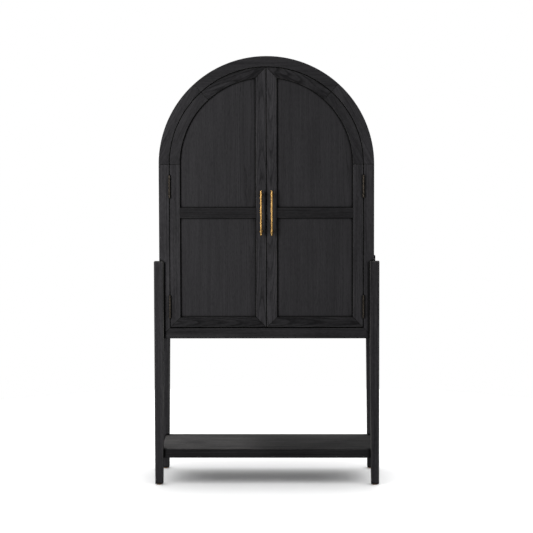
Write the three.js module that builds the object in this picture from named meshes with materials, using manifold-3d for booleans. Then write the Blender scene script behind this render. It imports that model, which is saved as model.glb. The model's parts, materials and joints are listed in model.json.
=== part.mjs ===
// A tall arched two-door cabinet on a four-legged stand with a low open shelf.
// Millimetres, +Z up, the doors face -Y. The origin is under the middle of the
// whole object, on the floor.
//
// While the pieces are made, y = 0 is the front face of the case and y grows
// towards the back. The last lines move everything so that the origin is centred.

import * as THREE from "three";
import { mergeVertices } from "three/addons/utils/BufferGeometryUtils.js";
import Module from "manifold-3d";

const wasm = await Module();
wasm.setup();

// ---- driving dimensions ---------------------------------------------------

// Clearances.
const jointGap = 0.3;            // between pieces that are glued or rest on each other
const doorGap = 3;               // around the outer edge of the doors
const doorBottomGap = 4.5;
const centreGap = 3;             // between the two doors

// Case.
const caseWidth = 1066;
const caseDepth = 420;
const caseUnderside = 734;       // height above the floor
const straightHeight = 865;      // underside of the case to the springline of the arch
const sideThickness = 19;
const shellThickness = 19;
const floorThickness = 19;
const backThickness = 9;
const backRebate = 8;            // how far the back sits into the sides and the arch
const housingDepth = 6;          // depth of the grooves that hold the shelves
const shelfThickness = 18;
const shelfCount = 3;
const topShelfDrop = 9;          // top shelf's upper face, below the springline
const shelfSetback = 4;          // shelves' front edges, behind the doors

// Face frame.
const frameWidth = 51.5;
const frameThickness = 22;
const bottomRailWidth = 52;
const faceArchJoint = 48;        // degrees from the springline to the joints in the face arch

// Doors.
const doorThickness = 22;
const stileWidth = 50;
const railWidth = 50;
const midRailHeight = 625;       // middle of the rail, above the case's underside
const archRailJoint = 48;        // degrees from the springline to the joint in the arch rail
const panelThickness = 6;
const panelRecess = 9.5;         // panel's face, behind the door's face
const grooveDepth = 9;
const panelTongue = 8;           // how far a panel's edge reaches into the groove
const tenonLength = 8;

// Butt hinges.
const hingeLength = 110;
const hingeBarrelRadius = 4.3;
const hingePinRadius = 2;
const hingePinClearance = 0.3;
const hingeLeafThickness = 2;
const hingeLeafDepth = 18;
const hingeKnuckles = 5;
const hingeKnuckleGap = 0.4;
const hingeCapHeight = 3;
const upperHingeDrop = 109;      // middle of the upper hinge, below the springline
const lowerHingeRise = 102;      // middle of the lower hinge, above the door's bottom edge

// Handles.
const handleLength = 225;
const handleBarRadius = 5;
const handleStandoff = 23;       // middle of the bar, in front of the door
const handlePostRadius = 3.6;
const handlePostInset = 22;      // middle of a post, from the end of the bar
const handleRoseRadius = 7;
const handleRoseThickness = 2.5;

// Magnetic catch.
const catchWidth = 84;
const catchDepth = 16;
const catchHeight = 12;
const catchClearance = 1;        // between the catch and a closed door
const strikeWidth = 24;
const strikeHeight = 11;
const strikeThickness = 1;
const strikeInset = 12;          // from the door's meeting edge

// Legs and stand.
const legWidth = 47.5;
const legFoot = 39.5;            // width of a leg at the floor
const legOutstand = 26;          // leg's outer face, outside the case
const legProud = 15;             // leg's face, in front of or behind the case
const legRise = 385;             // top of the leg, above the case's underside
const standShelfTop = 178;
const standShelfThickness = 44;
const glideRadius = 13;
const glideHeight = 5;
const glideChamfer = 1.5;

// How finely round things are cut.
const archStep = 3;              // degrees per facet on the big arches
const smallRound = 16;           // facets around a barrel, bar or post

// ---- sizes that follow from them --------------------------------------------

const springline = caseUnderside + straightHeight;
const caseRadius = caseWidth / 2;
const openingRadius = caseRadius - frameWidth;
const doorRadius = openingRadius - doorGap;
const doorInnerRadius = doorRadius - stileWidth;
const doorMeetingEdge = centreGap / 2;
const doorMeetingInner = doorMeetingEdge + stileWidth;
const openingBottom = caseUnderside + bottomRailWidth;
const doorBottom = openingBottom + doorBottomGap;
const doorRailTop = doorBottom + railWidth;
const midRailBottom = caseUnderside + midRailHeight - railWidth / 2;
const midRailTop = midRailBottom + railWidth;
const hingeAxisX = (openingRadius + doorRadius) / 2;
const hingeAxisProud = hingeBarrelRadius + jointGap;     // in front of the face of the case
const insideHalf = caseRadius - sideThickness;
const shellInnerRadius = caseRadius - shellThickness;
const backFront = caseDepth - backThickness;
const shelvesTop = springline - topShelfDrop;
const bayHeight = (shelvesTop - openingBottom - shelfCount * shelfThickness) / shelfCount;

// ---- finishes ------------------------------------------------------------------

const charcoalOak = { color: 0x37353a, roughness: 0.62, metalness: 0 };
const brushedBrass = { color: 0xc8964e, roughness: 0.32, metalness: 1 };
const antiqueBrass = { color: 0x8a6a3c, roughness: 0.42, metalness: 1 };
const blackSteel = { color: 0x2a2a2c, roughness: 0.5, metalness: 0.8 };
const paleNylon = { color: 0xb99a7c, roughness: 0.7, metalness: 0 };

// ---- making solids ---------------------------------------------------------------

function solidOf(geometry) {
  const bare = geometry.clone();
  for (const name of Object.keys(bare.attributes)) {
    if (name !== "position") bare.deleteAttribute(name);
  }
  const closed = mergeVertices(bare, 1e-4);
  return new wasm.Manifold(new wasm.Mesh({
    numProp: 3,
    vertProperties: new Float32Array(closed.attributes.position.array),
    triVerts: new Uint32Array(closed.index.array),
  }));
}

const cabinet = new THREE.Group();

function addPiece(name, solid, finish) {
  const { vertProperties, triVerts } = solid.getMesh();
  const geometry = new THREE.BufferGeometry();
  geometry.setAttribute("position", new THREE.BufferAttribute(vertProperties, 3));
  geometry.setIndex(new THREE.BufferAttribute(triVerts, 1));
  geometry.computeVertexNormals();
  const mesh = new THREE.Mesh(geometry, new THREE.MeshStandardMaterial(finish));
  mesh.name = name;
  cabinet.add(mesh);
}

// A box between two corners, given in either order.
function block(xa, xb, ya, yb, za, zb) {
  const size = [Math.abs(xb - xa), Math.abs(yb - ya), Math.abs(zb - za)];
  const geometry = new THREE.BoxGeometry(...size);
  geometry.translate((xa + xb) / 2, (ya + yb) / 2, (za + zb) / 2);
  return solidOf(geometry);
}

function extruded(points, depth) {
  const shape = new THREE.Shape(points.map(([u, v]) => new THREE.Vector2(u, v)));
  return new THREE.ExtrudeGeometry(shape, { depth, bevelEnabled: false });
}

// A board whose outline is drawn in the XZ plane, from one depth to another.
function board(points, yFront, yBack) {
  const geometry = extruded(points, yBack - yFront);
  geometry.rotateX(Math.PI / 2);
  geometry.translate(0, yBack, 0);
  return solidOf(geometry);
}

// A bar whose outline is drawn in the YZ plane, from one x to another.
function sideBoard(points, xLow, xHigh) {
  const geometry = extruded(points, xHigh - xLow);
  const alongY = new THREE.Vector3(0, 1, 0);
  const alongZ = new THREE.Vector3(0, 0, 1);
  const alongX = new THREE.Vector3(1, 0, 0);
  geometry.applyMatrix4(new THREE.Matrix4().makeBasis(alongY, alongZ, alongX));
  geometry.translate(xLow, 0, 0);
  return solidOf(geometry);
}

// A turned piece. Its profile holds [radius, height] pairs; it stands along +Z.
function turned(profile, x, y, z, facets = smallRound) {
  const points = profile.map(([radius, height]) => new THREE.Vector2(radius, height));
  const geometry = new THREE.LatheGeometry(points, facets);
  geometry.rotateX(Math.PI / 2);
  geometry.translate(x, y, z);
  return solidOf(geometry);
}

// A turned piece that lies along -Y, out from a door's face.
function turnedForward(profile, x, y, z) {
  const points = profile.map(([radius, height]) => new THREE.Vector2(radius, height));
  const geometry = new THREE.LatheGeometry(points, smallRound);
  geometry.rotateX(Math.PI);
  geometry.translate(x, y, z);
  return solidOf(geometry);
}

// A tube's closed profile, for turned().
function tubeProfile(inner, outer, length) {
  return [[inner, 0], [outer, 0], [outer, length], [inner, length], [inner, 0]];
}

// Points of an arc about the middle of the springline. Angles are in degrees,
// from the springline upwards; side is 1 on the right and -1 on the left.
function arc(radius, from, to, side = 1) {
  const steps = Math.max(1, Math.ceil(Math.abs(to - from) / archStep - 1e-6));
  const points = [];
  for (let i = 0; i <= steps; i += 1) {
    const angle = THREE.MathUtils.degToRad(from + (to - from) * i / steps);
    points.push([side * radius * Math.cos(angle), springline + radius * Math.sin(angle)]);
  }
  return points;
}

// A piece of ring between two radii. The inner arc may end at its own angles.
function ringPiece(inner, outer, from, to, side, innerFrom = from, innerTo = to) {
  return [...arc(outer, from, to, side), ...arc(inner, innerTo, innerFrom, side)];
}

const degreesOf = (radians) => THREE.MathUtils.radToDeg(radians);
const gapAngle = (radius) => degreesOf(jointGap / radius);
const angleAtX = (x, radius) => degreesOf(Math.acos(x / radius));

// ---- case ---------------------------------------------------------------------------

// The face frame is mitred at its bottom corners and jointed at the springline.
function faceStile(side) {
  const outline = [
    [side * caseRadius, caseUnderside],
    [side * caseRadius, springline - jointGap],
    [side * openingRadius, springline - jointGap],
    [side * openingRadius, openingBottom],
  ];
  let stile = board(outline, 0, frameThickness);
  for (const middle of hingeHeights()) {
    stile = stile.subtract(leafRecess(side, middle, 1));
  }
  return stile;
}

function faceBottomRail() {
  const mitreGap = jointGap * Math.SQRT2;
  return board([
    [-caseRadius + mitreGap, caseUnderside],
    [caseRadius - mitreGap, caseUnderside],
    [openingRadius - mitreGap, openingBottom],
    [-openingRadius + mitreGap, openingBottom],
  ], 0, frameThickness);
}

// Three segments: one on each side and a crown between them.
function faceArch() {
  for (const [word, side] of [["left", -1], ["right", 1]]) {
    const outline = ringPiece(openingRadius, caseRadius, 0, faceArchJoint, side);
    addPiece(`face_arch_${word}`, board(outline, 0, frameThickness), charcoalOak);
  }
  const start = faceArchJoint + gapAngle(openingRadius);
  const crown = ringPiece(openingRadius, caseRadius, start, 180 - start, 1);
  addPiece("face_arch_crown", board(crown, 0, frameThickness), charcoalOak);
}

// Outline of the inside of the back rebate, which the back panel nearly fills.
function backOutline(clearance) {
  const reach = insideHalf + backRebate - clearance;
  const radius = shellInnerRadius + backRebate - clearance;
  return [[-reach, caseUnderside], [reach, caseUnderside], ...arc(radius, 0, 180)];
}

function shelfUnderside(index) {
  return openingBottom + bayHeight * (index + 1) + shelfThickness * index;
}

const carcassFront = frameThickness + jointGap;
const innerBoardHalf = insideHalf + housingDepth - jointGap;
const innerBoardBack = backFront - jointGap;
const shelfFront = Math.max(doorThickness, frameThickness) + shelfSetback;
const rebateCutter = board(backOutline(0), backFront, caseDepth + 1);

function caseSide(side) {
  let panel = block(
    side * caseRadius, side * insideHalf,
    carcassFront, caseDepth,
    caseUnderside, springline - jointGap,
  );
  panel = panel.subtract(rebateCutter);
  const housing = (low, high) => block(
    side * (insideHalf - 1), side * (insideHalf + housingDepth),
    carcassFront - 1, backFront + 1,
    low - jointGap, high + jointGap,
  );
  panel = panel.subtract(housing(openingBottom - floorThickness, openingBottom));
  for (let index = 0; index < shelfCount; index += 1) {
    const underside = shelfUnderside(index);
    panel = panel.subtract(housing(underside, underside + shelfThickness));
  }
  return panel;
}

function buildCase() {
  for (const [word, side] of [["left", -1], ["right", 1]]) {
    addPiece(`face_stile_${word}`, faceStile(side), charcoalOak);
    addPiece(`case_side_${word}`, caseSide(side), charcoalOak);
  }
  addPiece("face_bottom_rail", faceBottomRail(), charcoalOak);
  faceArch();

  const shell = board(ringPiece(shellInnerRadius, caseRadius, 0, 180, 1), carcassFront, caseDepth);
  addPiece("arch_shell", shell.subtract(rebateCutter), charcoalOak);

  addPiece("case_floor", block(
    -innerBoardHalf, innerBoardHalf,
    carcassFront, innerBoardBack,
    openingBottom - floorThickness, openingBottom,
  ), charcoalOak);

  const back = board(backOutline(jointGap), backFront + jointGap, caseDepth);
  addPiece("back_panel", back, charcoalOak);

  for (let index = 0; index < shelfCount; index += 1) {
    const underside = shelfUnderside(index);
    addPiece(`shelf_${index + 1}`, block(
      -innerBoardHalf, innerBoardHalf,
      shelfFront, innerBoardBack,
      underside, underside + shelfThickness,
    ), charcoalOak);
  }
}

// ---- catch ----------------------------------------------------------------------------

// One block with two magnets hangs under the middle shelf and stops both doors.
const catchShelf = Math.floor((shelfCount - 1) / 2);
const catchTop = shelfUnderside(catchShelf) - jointGap;
const strikeMiddle = catchTop - catchHeight / 2;

function buildCatch() {
  const front = doorThickness + catchClearance;
  addPiece("catch_block", block(
    -catchWidth / 2, catchWidth / 2,
    front, front + catchDepth,
    catchTop - catchHeight, catchTop,
  ), blackSteel);
}

function strikeBlock(side, clearance) {
  return block(
    side * (doorMeetingEdge + strikeInset - clearance),
    side * (doorMeetingEdge + strikeInset + strikeWidth + clearance),
    doorThickness - strikeThickness + jointGap - clearance,
    doorThickness + jointGap + clearance * 4,
    strikeMiddle - strikeHeight / 2 - clearance,
    strikeMiddle + strikeHeight / 2 + clearance,
  );
}

// ---- hinges -----------------------------------------------------------------------------

function hingeHeights() {
  return [springline - upperHingeDrop, doorBottom + lowerHingeRise];
}

// The leaves face each other across the hinge axis; towards is 1 for the leaf on
// the case and -1 for the leaf on the door.
const leafNear = jointGap;
const leafFar = leafNear + hingeLeafThickness;

function leafRecess(side, middle, towards) {
  return block(
    side * hingeAxisX, side * (hingeAxisX + towards * (leafFar + jointGap)),
    -1, hingeLeafDepth + jointGap,
    middle - hingeLength / 2 - jointGap, middle + hingeLength / 2 + jointGap,
  );
}

// Knuckles are shared out in turn: the leaf on the case has the first and last.
function hingeLeaf(side, middle, towards) {
  const bottom = middle - hingeLength / 2;
  const pitch = hingeLength / hingeKnuckles;
  const near = side * (hingeAxisX + towards * leafNear);
  const far = side * (hingeAxisX + towards * leafFar);
  const boreRadius = hingePinRadius + hingePinClearance;
  const plateFront = hingeBarrelRadius - hingeAxisProud + 2 * hingeKnuckleGap;
  let leaf = block(near, far, plateFront, hingeLeafDepth, bottom, bottom + hingeLength);
  for (let index = 0; index < hingeKnuckles; index += 1) {
    const onCase = index % 2 === 0;
    if (onCase !== (towards > 0)) continue;
    const low = bottom + index * pitch + (index === 0 ? 0 : hingeKnuckleGap / 2);
    const high = bottom + (index + 1) * pitch - (index === hingeKnuckles - 1 ? 0 : hingeKnuckleGap / 2);
    const barrel = tubeProfile(boreRadius, hingeBarrelRadius, high - low);
    const strapEnd = -hingeAxisProud + boreRadius + jointGap;
    leaf = leaf.add(turned(barrel, side * hingeAxisX, -hingeAxisProud, low));
    leaf = leaf.add(block(near, far, strapEnd, plateFront + 1, low, high));
  }
  return leaf;
}

function hingePin(side, middle) {
  const bottom = middle - hingeLength / 2 - jointGap;
  const top = middle + hingeLength / 2 + jointGap;
  const cap = hingeBarrelRadius * 0.9;
  const edge = cap * 0.5;
  return turned([
    [0, bottom - hingeCapHeight], [edge, bottom - hingeCapHeight],
    [cap, bottom - hingeCapHeight * 0.6], [cap, bottom],
    [hingePinRadius, bottom], [hingePinRadius, top],
    [cap, top], [cap, top + hingeCapHeight * 0.6],
    [edge, top + hingeCapHeight], [0, top + hingeCapHeight],
  ], side * hingeAxisX, -hingeAxisProud, 0);
}

function buildHinges(word, side) {
  for (const [index, place] of ["upper", "lower"].entries()) {
    const middle = hingeHeights()[index];
    const name = `hinge_${word}_${place}`;
    addPiece(`${name}_case_leaf`, hingeLeaf(side, middle, 1), antiqueBrass);
    addPiece(`${name}_door_leaf`, hingeLeaf(side, middle, -1), antiqueBrass);
    addPiece(`${name}_pin`, hingePin(side, middle), antiqueBrass);
  }
}

// ---- doors -----------------------------------------------------------------------------

// The panels' outlines, grown by how far they reach under the frame around them.
function upperPanelOutline(side, reach) {
  const inner = doorMeetingInner - reach;
  const radius = doorInnerRadius + reach;
  return [
    [side * inner, midRailTop - reach],
    [side * radius, midRailTop - reach],
    ...arc(radius, 0, angleAtX(inner, radius), side),
  ];
}

function lowerPanelOutline(side, reach) {
  return [
    [side * (doorMeetingInner - reach), doorRailTop - reach],
    [side * (doorInnerRadius + reach), doorRailTop - reach],
    [side * (doorInnerRadius + reach), midRailBottom + reach],
    [side * (doorMeetingInner - reach), midRailBottom + reach],
  ];
}

// The meeting stile and the arch rail meet on a mitre, from the inner corner to
// the outer one.
function meetingStileOutline(side) {
  const drop = jointGap * Math.SQRT2;
  const innerTop = springline + Math.sqrt(doorInnerRadius ** 2 - doorMeetingInner ** 2) - drop;
  const outerTop = springline + Math.sqrt(doorRadius ** 2 - doorMeetingEdge ** 2) - drop;
  return [
    [side * doorMeetingEdge, doorBottom],
    [side * doorMeetingInner, doorRailTop],
    [side * doorMeetingInner, innerTop],
    [side * doorMeetingEdge, outerTop],
  ];
}

function buildDoor(word, side) {
  const grooveFront = panelRecess - jointGap;
  const grooveBack = panelRecess + panelThickness + jointGap;
  const upperGroove = board(upperPanelOutline(side, grooveDepth), grooveFront, grooveBack);
  const lowerGroove = board(lowerPanelOutline(side, grooveDepth), grooveFront, grooveBack);
  const grooved = (solid) => solid.subtract(upperGroove).subtract(lowerGroove);
  const framePiece = (outline) => grooved(board(outline, 0, doorThickness));

  let hingeStile = framePiece([
    [side * doorRadius, doorBottom],
    [side * doorRadius, springline - jointGap],
    [side * doorInnerRadius, springline - jointGap],
    [side * doorInnerRadius, doorRailTop],
  ]);
  for (const middle of hingeHeights()) {
    hingeStile = hingeStile.subtract(leafRecess(side, middle, -1));
  }

  const mitreGap = jointGap * Math.SQRT2;
  const bottomRail = framePiece([
    [side * (doorRadius - mitreGap), doorBottom],
    [side * (doorInnerRadius - mitreGap), doorRailTop],
    [side * (doorMeetingInner + mitreGap), doorRailTop],
    [side * (doorMeetingEdge + mitreGap), doorBottom],
  ]);

  // The middle rail butts against the stiles, with a tenon into each groove.
  let midRail = board([
    [side * (doorInnerRadius - jointGap), midRailBottom],
    [side * (doorInnerRadius - jointGap), midRailTop],
    [side * (doorMeetingInner + jointGap), midRailTop],
    [side * (doorMeetingInner + jointGap), midRailBottom],
  ], 0, doorThickness);
  midRail = grooved(midRail).add(block(
    side * (doorInnerRadius + tenonLength), side * (doorMeetingInner - tenonLength),
    panelRecess, panelRecess + panelThickness,
    midRailBottom + grooveDepth + jointGap, midRailTop - grooveDepth - jointGap,
  ));
  const tenonSlot = block(
    side * (doorInnerRadius + grooveDepth), side * (doorMeetingInner - grooveDepth),
    grooveFront, grooveBack,
    midRailBottom, midRailTop,
  );
  hingeStile = hingeStile.subtract(tenonSlot);

  let meetingStile = framePiece(meetingStileOutline(side));
  meetingStile = meetingStile.subtract(tenonSlot);
  meetingStile = meetingStile.subtract(strikeBlock(side, jointGap));

  const outerEnd = angleAtX(doorMeetingEdge, doorRadius);
  const innerEnd = angleAtX(doorMeetingInner, doorInnerRadius);
  const upperStart = archRailJoint + gapAngle(doorInnerRadius);
  const lowerRing = ringPiece(doorInnerRadius, doorRadius, 0, archRailJoint, side);
  const upperRing = ringPiece(
    doorInnerRadius, doorRadius, upperStart, outerEnd, side, upperStart, innerEnd,
  );

  const pieces = {
    hinge_stile: hingeStile,
    meeting_stile: meetingStile,
    bottom_rail: bottomRail,
    mid_rail: midRail,
    arch_rail_lower: framePiece(lowerRing),
    arch_rail_upper: framePiece(upperRing),
    upper_panel: board(upperPanelOutline(side, panelTongue), panelRecess, panelRecess + panelThickness),
    lower_panel: board(lowerPanelOutline(side, panelTongue), panelRecess, panelRecess + panelThickness),
  };
  for (const [name, solid] of Object.entries(pieces)) {
    addPiece(`door_${word}_${name}`, solid, charcoalOak);
  }
  addPiece(`door_${word}_strike`, strikeBlock(side, 0), blackSteel);
}

// ---- handles ---------------------------------------------------------------------------

function buildHandle(word, side) {
  const x = side * (doorMeetingEdge + stileWidth / 2);
  const bottom = caseUnderside + midRailHeight - handleLength / 2;
  const top = bottom + handleLength;
  const edge = handleBarRadius * 0.3;
  addPiece(`handle_${word}_bar`, turned([
    [0, bottom], [handleBarRadius - edge, bottom], [handleBarRadius, bottom + edge],
    [handleBarRadius, top - edge], [handleBarRadius - edge, top], [0, top],
  ], x, -handleStandoff, 0), brushedBrass);

  const seat = handleBarRadius + jointGap;
  const barCutter = turned([[0, bottom], [seat, bottom], [seat, top], [0, top]], x, -handleStandoff, 0);
  const heights = { upper: top - handlePostInset, lower: bottom + handlePostInset };
  for (const [place, z] of Object.entries(heights)) {
    const post = turnedForward([
      [0, 0], [handleRoseRadius, 0], [handleRoseRadius, handleRoseThickness * 0.6],
      [handleRoseRadius * 0.8, handleRoseThickness], [handlePostRadius, handleRoseThickness],
      [handlePostRadius, handleStandoff - handleBarRadius / 2], [0, handleStandoff - handleBarRadius / 2],
    ], x, -jointGap, z);
    addPiece(`handle_${word}_post_${place}`, post.subtract(barCutter), brushedBrass);
  }
}

// ---- stand -----------------------------------------------------------------------------

// A leg is straight on its two outer faces and tapers on its inner faces from the
// case down. It is rebated around the corners of the case and of the low shelf.
function leg(side, atBack) {
  const place = (y) => (atBack ? caseDepth - y : y);
  const outerX = caseRadius + legOutstand;
  const top = caseUnderside + legRise;
  const frontView = board([
    [side * outerX, glideHeight],
    [side * outerX, top],
    [side * (outerX - legWidth), top],
    [side * (outerX - legWidth), caseUnderside],
    [side * (outerX - legFoot), glideHeight],
  ], -legProud - 1, caseDepth + legProud + 1);
  const sideView = sideBoard([
    [place(-legProud), glideHeight],
    [place(-legProud), top],
    [place(-legProud + legWidth), top],
    [place(-legProud + legWidth), caseUnderside],
    [place(-legProud + legFoot), glideHeight],
  ], -outerX - 1, outerX + 1);
  const corner = (low, high) => block(
    0, side * (caseRadius + jointGap),
    place(-jointGap), place(legWidth),
    low, high,
  );
  const shelfBottom = standShelfTop - standShelfThickness;
  return frontView
    .intersect(sideView)
    .subtract(corner(caseUnderside - jointGap, top + 1))
    .subtract(corner(shelfBottom - jointGap, standShelfTop + jointGap));
}

function glide(side, atBack) {
  const x = side * (caseRadius + legOutstand - legFoot / 2);
  const fromFront = legFoot / 2 - legProud;
  const top = glideHeight - jointGap;
  return turned([
    [0, 0], [glideRadius - glideChamfer, 0], [glideRadius, glideChamfer],
    [glideRadius, top], [0, top],
  ], x, atBack ? caseDepth - fromFront : fromFront, 0);
}

function buildStand() {
  for (const [word, side] of [["left", -1], ["right", 1]]) {
    for (const [depth, atBack] of [["front", false], ["back", true]]) {
      addPiece(`leg_${depth}_${word}`, leg(side, atBack), charcoalOak);
      addPiece(`glide_${depth}_${word}`, glide(side, atBack), paleNylon);
    }
  }
  addPiece("stand_shelf", block(
    -caseRadius, caseRadius,
    0, caseDepth,
    standShelfTop - standShelfThickness, standShelfTop,
  ), charcoalOak);
}

// ---- assembly --------------------------------------------------------------------------

buildCase();
buildCatch();
buildStand();
for (const [word, side] of [["left", -1], ["right", 1]]) {
  buildDoor(word, side);
  buildHinges(word, side);
  buildHandle(word, side);
}

const frontmost = -Math.max(legProud, handleStandoff + handleBarRadius);
const backmost = caseDepth + legProud;
cabinet.position.y = -(frontmost + backmost) / 2;

export default cabinet;
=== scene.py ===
# %% [markdown]
# # A black oak cabinet with an arched top
#
# The real object is a tall two-door cabinet of black-stained, open-grained oak. It stands
# on four square legs that wrap round its corners and hold a low open shelf. The doors have
# flat panels, brass bar handles and slim brass butt hinges.
#
# The joinery is already cut: it comes in as a frame of plain solids. This lesson sets up the
# soft light of a joiner's catalogue and then turns each solid into a finished piece. It eases
# the arrises, gives every board its own cut of oak, and turns and files the brass.

import json
import math
import random

import bmesh
import bpy
from mathutils import Matrix, Vector
from mathutils.bvhtree import BVHTree

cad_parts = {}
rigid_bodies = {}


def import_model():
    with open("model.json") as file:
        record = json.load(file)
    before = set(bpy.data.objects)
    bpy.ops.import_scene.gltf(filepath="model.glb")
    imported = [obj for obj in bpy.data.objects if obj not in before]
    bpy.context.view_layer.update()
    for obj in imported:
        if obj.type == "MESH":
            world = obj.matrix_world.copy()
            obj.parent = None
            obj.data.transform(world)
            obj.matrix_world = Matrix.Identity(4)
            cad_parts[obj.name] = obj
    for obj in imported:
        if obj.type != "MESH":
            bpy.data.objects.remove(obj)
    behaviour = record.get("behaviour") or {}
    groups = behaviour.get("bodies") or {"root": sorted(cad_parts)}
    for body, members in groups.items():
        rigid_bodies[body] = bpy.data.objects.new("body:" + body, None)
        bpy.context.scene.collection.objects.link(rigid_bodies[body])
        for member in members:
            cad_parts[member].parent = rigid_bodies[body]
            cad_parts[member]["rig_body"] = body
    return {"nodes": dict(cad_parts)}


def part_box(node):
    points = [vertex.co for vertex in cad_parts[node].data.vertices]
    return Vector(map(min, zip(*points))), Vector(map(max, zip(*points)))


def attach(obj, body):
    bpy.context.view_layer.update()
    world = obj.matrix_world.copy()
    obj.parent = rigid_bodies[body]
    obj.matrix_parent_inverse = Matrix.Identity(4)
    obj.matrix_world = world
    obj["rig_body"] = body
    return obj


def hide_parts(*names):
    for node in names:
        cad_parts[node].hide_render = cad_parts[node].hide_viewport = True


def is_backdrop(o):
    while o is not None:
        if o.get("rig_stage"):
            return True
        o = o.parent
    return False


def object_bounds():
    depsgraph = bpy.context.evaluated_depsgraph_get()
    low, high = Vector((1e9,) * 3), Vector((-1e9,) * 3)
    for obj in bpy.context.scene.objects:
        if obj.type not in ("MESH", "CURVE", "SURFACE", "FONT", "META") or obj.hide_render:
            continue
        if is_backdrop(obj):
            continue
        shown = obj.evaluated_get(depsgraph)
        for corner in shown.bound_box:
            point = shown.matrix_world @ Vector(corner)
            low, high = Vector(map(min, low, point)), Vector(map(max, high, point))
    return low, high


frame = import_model()
nodes = frame["nodes"]
cad_low, cad_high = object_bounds()
MM = 0.001
print(f"{len(nodes)} solids, {(cad_high.z - cad_low.z) / MM:.0f} mm tall")

# %% [markdown]
# ## The camera
#
# The cabinet is seen from almost straight ahead, at eye height and from about eight metres.
# A long lens keeps its uprights parallel. The camera looks down only a little, and a small
# lens shift brings the feet into the frame, as on a view camera. Three turns in order place
# it: tilt about its own side axis, pan about the vertical, and a trace of roll.

# %% Camera
lens_length = 110.95
camera_data = bpy.data.cameras.new("view_camera")
camera_data.lens = lens_length
camera_data.shift_y = -0.0497
camera = bpy.data.objects.new("view_camera", camera_data)
bpy.context.scene.collection.objects.link(camera)

pan = Matrix.Rotation(math.radians(0.868), 3, "Z")
tilt = Matrix.Rotation(math.radians(90 - 3.586), 3, "X")
roll = Matrix.Rotation(math.radians(-0.147), 3, "Z")
camera.rotation_mode = "QUATERNION"
camera.rotation_quaternion = (pan @ tilt @ roll).to_quaternion()
camera.location = (0.1231, cad_low.y - 8.0949, 1.7337)
bpy.context.scene.camera = camera
print("camera", [round(x, 3) for x in camera.location])

# %% [markdown]
# ## Studio light
#
# Black oak shows its grain only when light rakes across it. A tall softbox at the left does
# most of the work and leaves the thin shadows beside each rail, leg and handle. A weaker one
# at the right fills what it misses, two behind the cabinet light its back, and a wide one
# overhead lights the tops. A spotlight could rake the grain too, but its shadows have harder
# edges. `softbox` aims an area light at a point, so that a light is described by where it
# stands and what it looks at.


# %% Softboxes
def softbox(name, place, target, width, height, watts):
    data = bpy.data.lights.new(name, "AREA")
    data.shape = "RECTANGLE"
    data.size = width
    data.size_y = height
    data.energy = watts
    light = bpy.data.objects.new(name, data)
    bpy.context.scene.collection.objects.link(light)
    light.location = place
    light.visible_camera = False
    aim = Vector(target) - Vector(place)
    light.rotation_mode = "QUATERNION"
    light.rotation_quaternion = aim.to_track_quat("-Z", "Y")
    return light


middle = (0, 0, (cad_low.z + cad_high.z) / 2)
softboxes = [
    softbox("left_softbox", (-2.40, -2.50, 1.65), middle, 0.9, 2.4, 104),
    softbox("right_softbox", (3.20, -2.60, 1.70), middle, 0.8, 2.2, 50),
    softbox("back_left_softbox", (-3.00, 3.20, 1.80), middle, 1.2, 2.0, 70),
    softbox("back_right_softbox", (3.00, 3.20, 1.80), middle, 1.2, 2.0, 50),
    softbox("overhead_softbox", (0, 1.20, 4.60), (0, 0, 1.0), 4.0, 3.0, 120),
]
print(len(softboxes), "softboxes,", sum(light.data.energy for light in softboxes), "W in all")

# %% [markdown]
# The floor has a light of its own, so that it can be pure white without a glare on the oak.
# Light linking does this: a light with a receiver collection lights only what is in it. The
# cabinet still blocks it. The light is a sun 136 degrees across, almost a whole bright sky,
# which is what makes the shadow under the low shelf so soft.

# %% Floor light
floor_only = bpy.data.collections.new("floor_only")
floor_data = bpy.data.lights.new("floor_light", "SUN")
floor_data.energy = 5.0
floor_data.angle = math.radians(136)
floor_light = bpy.data.objects.new("floor_light", floor_data)
floor_light.light_linking.receiver_collection = floor_only
bpy.context.scene.collection.objects.link(floor_light)
print("floor light", floor_data.energy, "W per square metre")

# %% [markdown]
# ## White surroundings
#
# The background is a plain white room. The world gives the camera pure white, and gives the
# cabinet only a weak, even fill, so that the softboxes still model it. A Light Path node
# tells the two apart. The Standard view transform keeps white as white.

# %% World and view
world = bpy.data.worlds.new("white_room")
bpy.context.scene.world = world
world.use_nodes = True
room = world.node_tree
room.nodes.clear()
room_output = room.nodes.new("ShaderNodeOutputWorld")
ray_kind = room.nodes.new("ShaderNodeLightPath")
seen_white = room.nodes.new("ShaderNodeBackground")
seen_white.inputs["Color"].default_value = (1.0, 1.0, 1.0, 1.0)
seen_white.inputs["Strength"].default_value = 1.0
even_fill = room.nodes.new("ShaderNodeBackground")
even_fill.inputs["Color"].default_value = (0.96, 0.98, 1.0, 1.0)
even_fill.inputs["Strength"].default_value = 0.16
choose = room.nodes.new("ShaderNodeMixShader")
room.links.new(ray_kind.outputs["Is Camera Ray"], choose.inputs["Fac"])
room.links.new(even_fill.outputs["Background"], choose.inputs[1])
room.links.new(seen_white.outputs["Background"], choose.inputs[2])
room.links.new(choose.outputs["Shader"], room_output.inputs["Surface"])
bpy.context.scene.view_settings.view_transform = "Standard"
print("the room is white")

# %% [markdown]
# ## Shader helpers
#
# A procedural finish is a small network of nodes. Image textures could be painted instead,
# but nodes stay sharp at any distance and need no unwrapping. Six helpers keep the networks
# readable. `add_node` makes a node and fills its inputs, with a number or with another node's
# output. `calculate` does one step of arithmetic. `grain_noise` makes noise that is drawn out
# along the grain. `spread` stretches one range of values to another, `mix_colour` blends two
# colours, and `new_finish` starts a material.


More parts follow.
